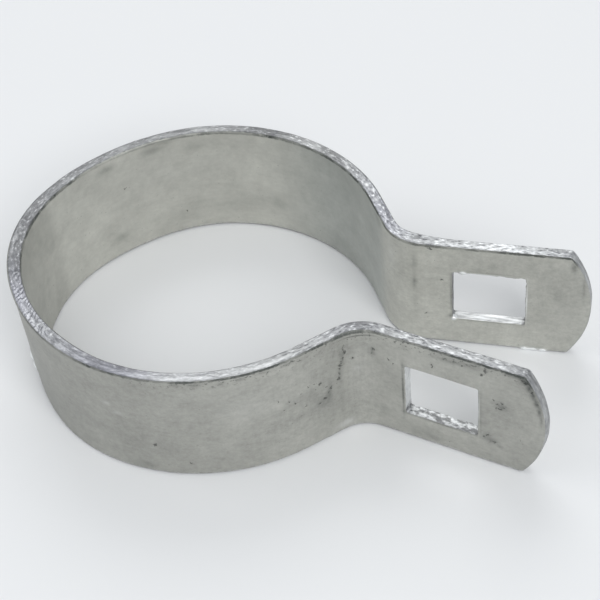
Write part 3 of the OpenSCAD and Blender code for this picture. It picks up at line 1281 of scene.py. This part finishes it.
    def pitted(self, sheet: NodeSheet, place: Signal, outer: Signal) -> Signal:
        """How deep each place lies in a pit, from 0 to 1.

        A pit's depth falls off with the distance from its middle, in a place bent by noise.

        Args:
            sheet: The material's nodes.
            place: The flat place.
            outer: 1 on the outer face, 0 on the inner one.

        Returns:
            Depth from 0 to 1.
        """
        inputs = {"Vector": place, "Scale": 1.9, "Detail": 3.0}
        bending = sheet.add("ShaderNodeTexNoise", {}, inputs, "Color")
        bent = sheet.vector("MULTIPLY_ADD", [bending, (1.5, 1.5, 0.0), (-0.75, -0.75, 0.0)])
        level = sheet.vector("ADD", [bent, sheet.stretch(place, (1.0, 1.0, 0.0))])
        reach, floor = self.pit_reach
        depths: list[Signal | float] = []
        for pits in (self.outer_pits, self.inner_pits):
            depth: Signal | float = 0.0
            for along, across, radius in pits:
                away = sheet.vector("DISTANCE", [level, (along, across, 0.0)], "Value")
                depth = away.step(radius * reach, radius * floor).most(depth)
            depths.append(depth)
        return depths[0] * outer + depths[1] * (1 - outer)

    def faces(self, sheet: NodeSheet, split: Sequence[Signal], outer: Signal) -> tuple[Signal, ...]:
        """The rolled faces.

        The face's colour is made lighter and darker by clouds, blotches and grain; its tone curves
        hold painted light and shade, the inner face is painted lighter, and a darker, cooler painted
        shade lies on part of the inner face. Bright nicks and painted highlights, then smudges, specks
        of grime and painted shade, then pits lie over it.

        Args:
            sheet: The material's nodes.
            split: The flat place and its parts along, across and through the strip.
            outer: 1 on the outer face, 0 on the inner one.

        Returns:
            Colour, roughness and height in millimetres.
        """
        place, along, across, _ = split
        cloud = sheet.noise(place, (9.0, 7.0, 5.0), 3.0)
        blotch = sheet.noise(place, (2.4, 2.0, 2.0), 4.0, 0.66)
        mottle = sheet.noise(place, (1.1, 0.8, 0.8), 3.0, 0.6)
        scuff = sheet.noise(place, (0.5, 2.6, 0.8), 3.0, 0.6)
        grain = sheet.noise(place, (0.4, 0.34, 0.3), 3.0, 0.6)
        drawn = sheet.noise(place, (9.0, 0.5, 3.0), 2.0)
        # Painted shade: from 46 to 86 mm along, the inner face is mixed half way to a darker, cooler
        # colour.
        cool_shade = along.zone((46.0, 66.0), (80.0, 86.0)) * (1 - outer)
        worn = outer.most(along.step(80.0, 90.0)) * 0.6 + 0.4
        rubbed = along.zone((-94.0, -88.0), (-76.0, -64.0)) * outer
        soil = sheet.attribute("soil")
        # The tone curves hold painted light and shade; the inner face's lighter colour is painted
        # light.
        lightness = self.curve(sheet, along, self.outer_tones) * outer
        lightness = lightness + self.curve(sheet, along, self.inner_tones) * (1 - outer)

        fine = (mottle - 0.5) * 0.32 + (grain - 0.5) * 0.3 + (scuff - 0.5) * (0.1 + rubbed * 0.14)
        uneven = cloud * 0.4 + blotch * 0.42 + drawn * 0.08 - 0.45
        tone = lightness * (1 + uneven + fine * worn)
        colour = sheet.mix(outer, self.inner_face, self.outer_face)
        colour = sheet.shade(sheet.mix(cool_shade * 0.5, colour, self.cool_shade), tone)
        pit = self.pitted(sheet, place, outer)
        broken = sheet.noise(place, (0.6, 0.5, 0.6), 4.0, 0.65)
        under_edge = across.step(8.4, 10.4) * outer * along.step(-44.0, -56.0)
        speck = broken.step(0.55, 0.65) * (under_edge * 0.8 + soil + rubbed * 0.16).least(1.0)
        sprinkled = sheet.noise(place, (0.5, 0.42, 0.6), 2.0).step(0.685, 0.76)
        sprinkled = sprinkled * blotch.step(0.46, 0.6) * 0.5
        # Smudges and painted shade: the dark marks, among them lines along the slots' rims, and
        # specks.
        dirt_and_painted_shade = (soil * (0.3 + broken * 1.4) * 0.9).most(speck * 0.8).most(sprinkled).least(0.88)
        # Bright nicks and painted highlights: marks below 0, the drips, and a thin line along the
        # lower edge.
        light = soil.step(0.0, -1.0).most(across.step(-10.55, -10.8) * broken.step(0.4, 0.6) * 0.25)
        colour = sheet.mix(light, colour, self.bright)
        colour = sheet.mix(dirt_and_painted_shade, colour, self.smudge_and_shade)
        colour = sheet.mix(pit * 0.75, colour, self.pit)
        rough = 0.5 + (blotch - 0.5) * 0.16 + dirt_and_painted_shade * 0.2
        height = (grain * 0.022 + mottle * 0.034 + scuff * rubbed * 0.015) * worn
        height = height + blotch * 0.05 + drawn * 0.005 - pit * 0.08 - dirt_and_painted_shade * 0.015
        return colour, rough, height

    def cut_walls(self, sheet: NodeSheet, split: Sequence[Signal]) -> tuple[Signal, ...]:
        """The slit edges, the sheared ends and the slots' walls.

        Bright zinc, tinted in stretches with a painted lavender reflection, is made darker by the tone
        along the strip and by streaks, flow and grain. Dark flecks and ripples, then painted glints
        lie over it.

        Args:
            sheet: The material's nodes.
            split: The flat place and its parts along, across and through the strip.

        Returns:
            Colour, roughness and height in millimetres.
        """
        place, along, across, through = split
        slot_wall = sheet.attribute("slot_wall")
        soil = sheet.attribute("soil")
        end = abs(along).step(116.6, 117.8)
        plain = 1 - slot_wall
        streak = sheet.noise(place, (4.2, 4.2, 0.4), 3.0, 0.55)
        flow = sheet.noise(place, (2.6, 2.6, 0.9), 3.0, 0.6)
        grain = sheet.noise(place, (1.0, 1.0, 0.38), 3.0, 0.6)
        swirl = sheet.noise(place, (1.4, 1.4, 0.9), 3.0, 0.62).step(0.38, 0.6)
        near_half = (through * along).step(0.5, -0.5)
        ripple_zone = along.zone((-37.0, -31.0), (-17.0, -15.0))
        wobble = sheet.noise(place, (2.2, 2.2, 1.2), 3.0)
        ripple = ((along + through * 0.8 + wobble * 2.8) * 6.6).wave().step(0.1, 1.0)
        ripple = ripple * ripple_zone * flow.step(0.35, 0.6)

        rough_cut = self.curve(sheet, along, self.grain_tones) * plain * (1 - end * 0.7)
        back_slot = along.step(60.0, 80.0)
        slot_floor = across.step(-3.8, -4.8)
        swirl = swirl * slot_floor
        front_wall = 0.84 + (swirl * 0.62 - 0.58) * slot_floor
        slot_ends = abs(along - 103.2).step(5.4, 6.2)
        back_wall = 0.72 + (streak - 0.5) * 1.6 - slot_ends * 0.4
        walls = front_wall * (1 - back_slot) + back_wall * back_slot
        tone = self.curve(sheet, along, self.edge_tones) * plain + slot_wall * walls
        tone = tone * (1 - end * plain) + end * plain * 0.38
        tone = tone * (0.9 + near_half * plain * 0.18) * (1 + (flow - 0.5) * (1.5 - slot_wall))
        tone = tone * (1 + (grain - 0.5) * (0.5 + rough_cut * 1.6)) * (1 - rough_cut * 0.05)
        # Painted reflection: the long edges are tinted in stretches towards a lavender colour.
        reflection_tint = self.curve(sheet, along, self.violet_reflection_tones) * plain * (1 - end)
        colour = sheet.shade(sheet.mix(reflection_tint * 0.7, self.bright, self.violet_reflection), tone)
        flecks = grain.step(0.43, 0.33) * rough_cut * 0.5
        flecks = flecks.most(streak.step(0.42, 0.32) * (0.2 + rough_cut * 0.2) * plain)
        # Dark marks fleck the cut walls too, among them the painted dimples' rings of shade.
        flecks = flecks.most(ripple * 0.7).most(soil * 0.9).least(0.9)
        colour = sheet.mix(flecks, colour, sheet.shade(self.fleck, tone + 0.3))
        # Painted glints: spots of bright colour, most between 50 and 88 mm along, and on marks below
        # 0.
        painted_sparkle = along.zone((50.0, 58.0), (84.0, 88.0)) * 0.3
        painted_glint = grain.step(0.54, 0.68) * (0.1 + rough_cut * 0.4 + painted_sparkle) * (1 - end)
        colour = sheet.mix(painted_glint.most(soil.step(0.0, -0.8)), colour, self.bright)
        rough = 0.32 + flow * 0.2 + flecks * 0.2
        height = streak * 0.05 + flow * 0.09 + grain * (0.03 + rough_cut * 0.06) - flecks * 0.03
        height = height + swirl * slot_wall * (1 - back_slot) * 0.06 - ripple * 0.04
        return colour, rough, height

    def material(self) -> bpy.types.Material:
        """Makes the material.

        The cut value, frayed by noise, parts the faces from the cut walls. A dark, patchy line, a
        painted shadow, runs on the faces' side of the border, darkest along the top edges.

        Returns:
            The material.
        """
        made = bpy.data.materials.new("galvanised_zinc")
        sheet = NodeSheet(made)
        place = sheet.attribute("strip_place", "Vector")
        parts = sheet.node("ShaderNodeSeparateXYZ", {}, [place])
        split = [place, *(Signal(sheet, parts.outputs[k]) for k in range(3))]
        _, along, across, through = split
        cut = sheet.attribute("cut")
        outer = through.step(-0.5, 0.5)
        frayed = sheet.noise(place, (0.7, 0.7, 0.4), 3.0) - 0.5
        edge = (cut + frayed * 0.5).step(0.5, 0.68)

        face_colour, face_rough, face_height = self.faces(sheet, split, outer)
        cut_colour, cut_rough, cut_height = self.cut_walls(sheet, split)
        # Painted shadow: a dark, patchy line on the faces beside the cut walls, darkest along the top
        # edges.
        on_top = across.step(8.0, 10.0)
        strong = self.curve(sheet, along, self.outer_shadow_lines) * outer
        strong = strong + self.curve(sheet, along, self.inner_shadow_lines) * (1 - outer)
        patchy = sheet.noise(place, (3.4, 3.4, 1.0), 2.0).step(0.36, 0.56) * 0.5 + 0.5
        shadow_line_amount = (0.15 + strong * on_top * 0.95) * patchy * (1.06 + frayed * 2.4).least(1.0)
        near = cut.step(0.0, 0.12).most((abs(across) + frayed * 0.4).step(10.5, 10.8))
        line = near * (1 - edge) * shadow_line_amount * (1 - cut.step(0.9, 1.0))
        colour = sheet.mix(line, sheet.mix(edge, face_colour, cut_colour), self.smudge_and_shade)
        rough = face_rough * (1 - edge) + cut_rough * edge
        height = face_height * (1 - edge) + cut_height * edge - line * 0.05
        bump = sheet.add("ShaderNodeBump", {}, {"Strength": 1.0, "Distance": MM, "Height": height})
        inputs = {
            "Base Color": colour,
            "Metallic": 0.45 + edge * 0.2,
            "Roughness": rough,
            "Normal": bump,
        }
        sheet.show("ShaderNodeBsdfPrincipled", inputs)
        return made


@dataclass(frozen=True)
class PaperFinish:
    """Plain pale studio paper."""

    colour: Colour = srgb(228, 229, 230)

    def material(self) -> bpy.types.Material:
        """Makes the material.

        Returns:
            The material.
        """
        made = bpy.data.materials.new("studio_paper")
        sheet = NodeSheet(made)
        inputs = {"Base Color": self.colour, "Roughness": 0.9}
        sheet.show("ShaderNodeBsdfPrincipled", inputs)
        return made


@dataclass(frozen=True)
class Softbox:
    """One square lamp that looks at the band.

    Attributes:
        name: Name of the lamp.
        place: Where it stands, in metres.
        size: Length of its side, in metres.
        power: Its power in watts.
    """

    name: str
    place: tuple[float, float, float]
    size: float
    power: float

    def build(self) -> bpy.types.Object:
        """Makes the lamp, with its back axis away from the band and its side axis level.

        Returns:
            The lamp's object.
        """
        lamp = bpy.data.lights.new(self.name, "AREA")
        lamp.shape = "SQUARE"
        lamp.size = self.size
        lamp.energy = self.power
        made = add_object(self.name, lamp)
        back = np.array(self.place) / np.linalg.norm(self.place)
        side = np.cross((0.0, 0.0, 1.0), back)
        side /= np.linalg.norm(side)
        made.matrix_world = standing([side, np.cross(back, side), back], self.place)
        return made


@dataclass
class Studio:
    """The floor, the light and the camera.

    Attributes:
        azimuth: Turn of the view about Z, in degrees.
        elevation: Height of the camera over the band, in degrees.
        roll: Turn of the picture, in degrees.
        target: The foot of the band's axis in camera space, in millimetres: right, down, forward.
        focal: Focal length in pixels of the photograph's frame.
        frame_size: Width of the photograph's frame in pixels.
        sensor: Width of the camera's sensor, in millimetres.
        sight: Nearest and furthest distance that the camera sees, in metres.
        foot_z: Height of the band's lower edge, in metres.
        floor_z: Height of the floor, in metres: under the drips that hang from the lower edge.
        floor_reach: How far the floor reaches each way from the origin, in metres.
        sky: Colour of the even light all round.
        sky_strength: Its strength.
        boxes: The lamps.
    """

    azimuth: float = 24.7649
    elevation: float = 43.7981
    roll: float = -5.7791
    target: tuple[float, float, float] = (-15.0996, 6.1633, 280.3665)
    focal: float = 1567.399
    frame_size: float = 600.0
    sensor: float = 36.0
    sight: tuple[float, float] = (0.01, 20.0)
    foot_z: float = -0.0111
    floor_z: float = -0.0114
    floor_reach: float = 3.0
    sky: Colour = srgb(236, 240, 244)
    sky_strength: float = 0.56
    boxes: tuple[Softbox, ...] = (
        Softbox("front_box", (0.75, -0.75, 1.0), 0.8, 12.0),
        Softbox("back_box", (-0.35, 0.75, 0.85), 0.8, 4.0),
        Softbox("left_box", (-0.9, -0.3, 0.8), 0.8, 2.2),
    )

    def view_axes(self) -> np.ndarray:
        """The camera's right, down and forward axes in the object's frame.

        Forward comes from the azimuth and the elevation, right is level, and the roll then turns
        right and down about forward.

        Returns:
            A 3 x 3 array with an axis in each row.
        """
        turn, rise, roll = np.radians([self.azimuth, self.elevation, self.roll])
        ahead = np.array([-np.sin(turn) * np.cos(rise), np.cos(turn) * np.cos(rise), -np.sin(rise)])
        right = np.array([np.cos(turn), np.sin(turn), 0.0])
        down = np.cross(ahead, right)
        rolled_right = right * np.cos(roll) - down * np.sin(roll)
        rolled_down = right * np.sin(roll) + down * np.cos(roll)
        return np.stack([rolled_right, rolled_down, ahead])

    def camera(self) -> bpy.types.Object:
        """Makes the camera and makes it the scene's own.

        It stands where the foot of the band's axis falls on the target in camera space.

        Returns:
            The camera's object.
        """
        axes = self.view_axes()
        foot = np.array([0.0, 0.0, self.foot_z / MM])
        place = -axes.T @ (np.array(self.target) - axes @ foot) * MM
        lens = bpy.data.cameras.new("camera")
        lens.sensor_width = self.sensor
        lens.lens = self.focal / self.frame_size * self.sensor
        lens.clip_start, lens.clip_end = self.sight
        made = add_object("camera", lens)
        made.matrix_world = standing([axes[0], -axes[1], -axes[2]], place)
        bpy.context.scene.camera = made
        return made

    def floor(self) -> bpy.types.Object:
        """Makes the floor, a wide square sheet of paper under the band.

        Returns:
            The floor's object.
        """
        reach = self.floor_reach
        corners = [(-reach, -reach), (reach, -reach), (reach, reach), (-reach, reach)]
        mesh = bpy.data.meshes.new("floor")
        mesh.from_pydata([(x, y, self.floor_z) for x, y in corners], [], [(0, 1, 2, 3)])
        mesh.materials.append(PaperFinish().material())
        made = add_object("floor", mesh)
        return made

    def world(self) -> None:
        """Lights everything evenly with a pale sky."""
        sky = bpy.data.worlds.new("studio_sky")
        bpy.context.scene.world = sky
        NodeSheet(sky).show("ShaderNodeBackground", [self.sky, self.sky_strength])

    def build(self) -> None:
        """Makes the camera, floor, sky and lamps."""
        self.camera()
        self.floor()
        self.world()
        for box in self.boxes:
            box.build()
        bpy.context.scene.view_settings.view_transform = "Standard"


def main() -> None:
    """Builds the studio and the band, and reports each piece."""
    Studio().build()
    log.info("studio: camera, floor, sky and lamps")
    band = BraceBand()
    piece = band.build()
    piece.data.materials.append(GalvanisedFinish().material())
    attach(piece, "root")
    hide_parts("band")
    mesh = piece.data
    log.info("%s: %d points, %d faces", piece.name, len(mesh.vertices), len(mesh.polygons))


if __name__ == "__main__":
    logging.basicConfig(level=logging.INFO, format="%(name)s: %(message)s")
    main()
